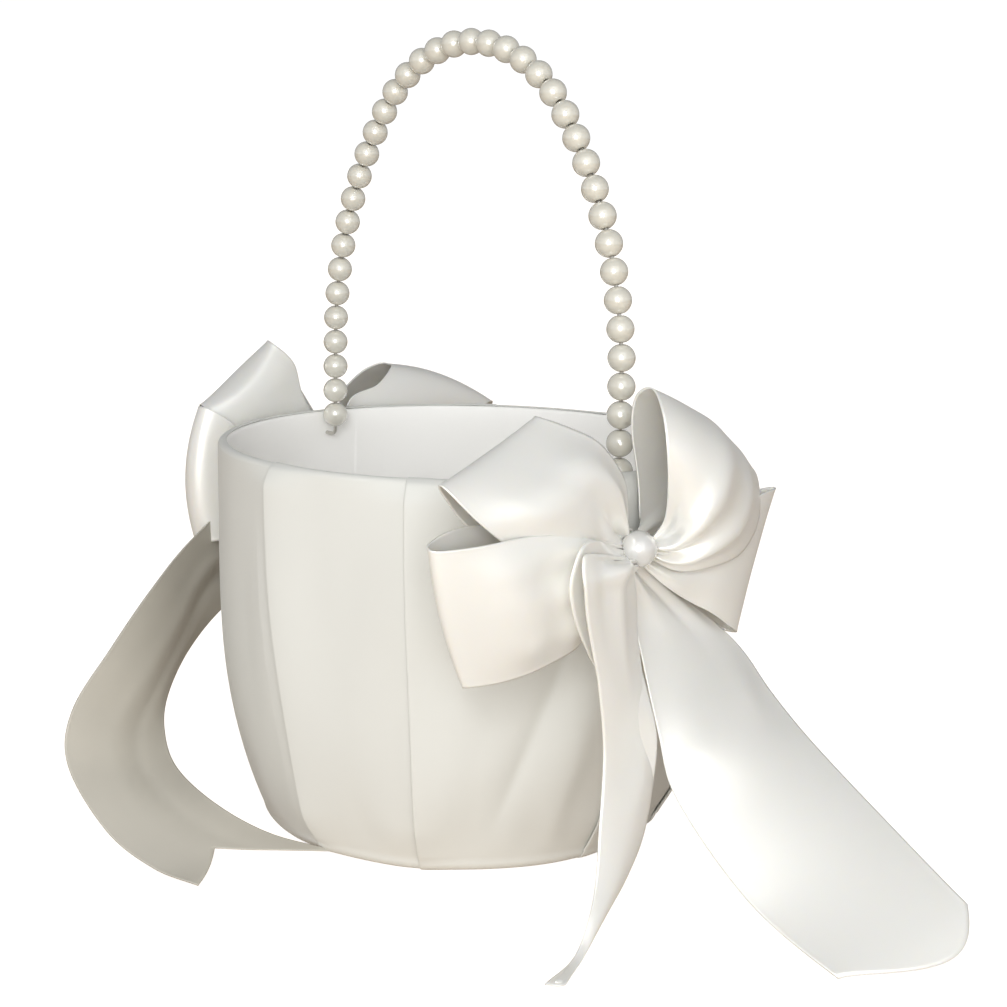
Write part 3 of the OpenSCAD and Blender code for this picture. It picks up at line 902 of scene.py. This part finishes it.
# The rear wide tail takes the darker back material, which paints shade into its colour
rear_wide = ribbon("rear_wide_tail", REAR_WIDE_TAIL,
                   folds=[(0.42, 1.5, 0.09, 110), (0.66, -1.8, 0.09, 120)],
                   material=RIBBON_BACK_PAINTED_SHADE, end=notched_cut)
for tail, side in ((wide, "front"), (rear_wide, "rear")):
    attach(tail, "basket")
    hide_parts(f"{side}_bow_wide_tail")

# ---- CAD parts that stay ----------------------------------------------------

KEPT = {"tub_shell": PLASTIC, "base_board": BOARD, "rim_cord": COVER, "handle_wire": WIRE,
        "handle_stop_front": STOP, "handle_stop_rear": STOP, "front_bow_pin": WIRE, "rear_bow_pin": WIRE}
for name, material in KEPT.items():
    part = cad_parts[name]
    part.data.materials.clear()
    part.data.materials.append(material)


# ---- Floor, light and camera ------------------------------------------------

# Half of the floor's side and its height, in metres
FLOOR_HALF = 6.0
FLOOR_Z = -0.0003
FLOOR_COLOR = (0.80, 0.68, 0.56, 1)
FLOOR_GLOW = 0.95


def make_stage():
    """A pale floor that glows to the camera alone, so that it runs into the white backdrop."""
    mesh = bpy.data.meshes.new("floor")
    corners = [(x * FLOOR_HALF, y * FLOOR_HALF, FLOOR_Z) for x, y in ((-1, -1), (1, -1), (1, 1), (-1, 1))]
    mesh.from_pydata(corners, [], [[0, 1, 2, 3]])
    material, nodes, links, shader = new_material("floor_white")
    shader.inputs["Base Color"].default_value = FLOOR_COLOR
    shader.inputs["Roughness"].default_value = 1.0
    shader.inputs["Specular IOR Level"].default_value = 0.0
    shader.inputs["Emission Color"].default_value = (1, 1, 1, 1)
    path = node(nodes, "ShaderNodeLightPath")
    glow = node(nodes, "ShaderNodeMath", operation="MULTIPLY")
    links.new(path.outputs["Is Camera Ray"], glow.inputs[0])
    glow.inputs[1].default_value = FLOOR_GLOW
    links.new(glow.outputs[0], shader.inputs["Emission Strength"])
    floor = link("floor", mesh, material)


# The surround: how bright it looks to the camera, its light from level and from straight overhead, and
# the shares of that light that come from behind the basket and from the camera's side
BACKDROP = 1.05
SIDE_LIGHT = 0.74
OVERHEAD_LIGHT = 0.27
BACK_SHARE = 0.5
FRONT_SHARE = 1.3
CAMERA_SIDE = (0.76, -0.65, 0)
# The lamps: place in metres, size in metres, watts and colour. All of them face LIT_POINT
LIT_POINT = (0.02, 0, 0.09)
LAMPS = {"key": ((0.80, -0.62, 0.46), 1.4, 4.8, (0.95, 0.985, 1.0)),
         "fill": ((0.74, -0.70, 0.28), 0.5, 3.0, (0.97, 0.99, 1.0)),
         "spark": ((0.60, -0.62, 0.50), 0.16, 1.3, (0.97, 0.99, 1.0))}


def softbox(name, place, size, watts, color):
    """A square area light at place that faces the basket."""
    data = bpy.data.lights.new(name, "AREA")
    data.size = size
    data.energy = watts
    data.color = color
    light = bpy.data.objects.new(name, data)
    light.location = place
    light.rotation_euler = (Vector(LIT_POINT) - Vector(place)).to_track_quat("-Z", "Y").to_euler()
    bpy.context.scene.collection.objects.link(light)


def make_light():
    """A white backdrop, a surround that is darker overhead and behind, and three lamps by the camera."""
    world = bpy.data.worlds.new("studio")
    world.use_nodes = True
    nodes, links = world.node_tree.nodes, world.node_tree.links
    background = nodes["Background"]
    background.inputs["Color"].default_value = (1, 1, 1, 1)
    path = node(nodes, "ShaderNodeLightPath")
    strength = node(nodes, "ShaderNodeMapRange")
    strength.inputs["To Max"].default_value = BACKDROP
    links.new(path.outputs["Is Camera Ray"], strength.inputs["Value"])
    coords = node(nodes, "ShaderNodeTexCoord")
    height = node(nodes, "ShaderNodeSeparateXYZ")
    links.new(coords.outputs["Generated"], height.inputs[0])
    dome = node(nodes, "ShaderNodeMapRange")
    dome.inputs["To Min"].default_value = SIDE_LIGHT
    dome.inputs["To Max"].default_value = OVERHEAD_LIGHT
    links.new(height.outputs["Z"], dome.inputs["Value"])
    side = node(nodes, "ShaderNodeVectorMath", operation="DOT_PRODUCT")
    links.new(coords.outputs["Generated"], side.inputs[0])
    side.inputs[1].default_value = CAMERA_SIDE
    front = node(nodes, "ShaderNodeMapRange")
    front.inputs["From Min"].default_value = -1.0
    front.inputs["To Min"].default_value = BACK_SHARE
    front.inputs["To Max"].default_value = FRONT_SHARE
    links.new(side.outputs["Value"], front.inputs["Value"])
    product = node(nodes, "ShaderNodeMath", operation="MULTIPLY")
    links.new(dome.outputs["Result"], product.inputs[0])
    links.new(front.outputs["Result"], product.inputs[1])
    links.new(product.outputs[0], strength.inputs["To Min"])
    links.new(strength.outputs["Result"], background.inputs["Strength"])
    bpy.context.scene.world = world
    for name, (place, size, watts, color) in LAMPS.items():
        softbox(name, place, size, watts, color)


# The camera: its place in metres, its angles in degrees and its lens in mm
CAMERA_PLACE = (0.4683, -0.3944, 0.2132)
CAMERA_HEADING = 48.79
CAMERA_DOWN = 10.82
CAMERA_ROLL = 0.98
LENS = 72.47
SENSOR = 36


def make_camera():
    """The camera, off the front bow's left side and a little above the rim, looking slightly down."""
    data = bpy.data.cameras.new("camera")
    data.lens = LENS
    data.sensor_width = SENSOR
    camera = bpy.data.objects.new("camera", data)
    place = Matrix.Translation(CAMERA_PLACE)
    heading = Matrix.Rotation(math.radians(CAMERA_HEADING), 4, "Z")
    pitch = Matrix.Rotation(math.radians(90 - CAMERA_DOWN), 4, "X")
    roll = Matrix.Rotation(math.radians(CAMERA_ROLL), 4, "Z")
    camera.matrix_world = place @ heading @ pitch @ roll
    bpy.context.scene.collection.objects.link(camera)
    bpy.context.scene.camera = camera


make_stage()
make_light()
make_camera()
bpy.context.scene.view_settings.view_transform = "Standard"
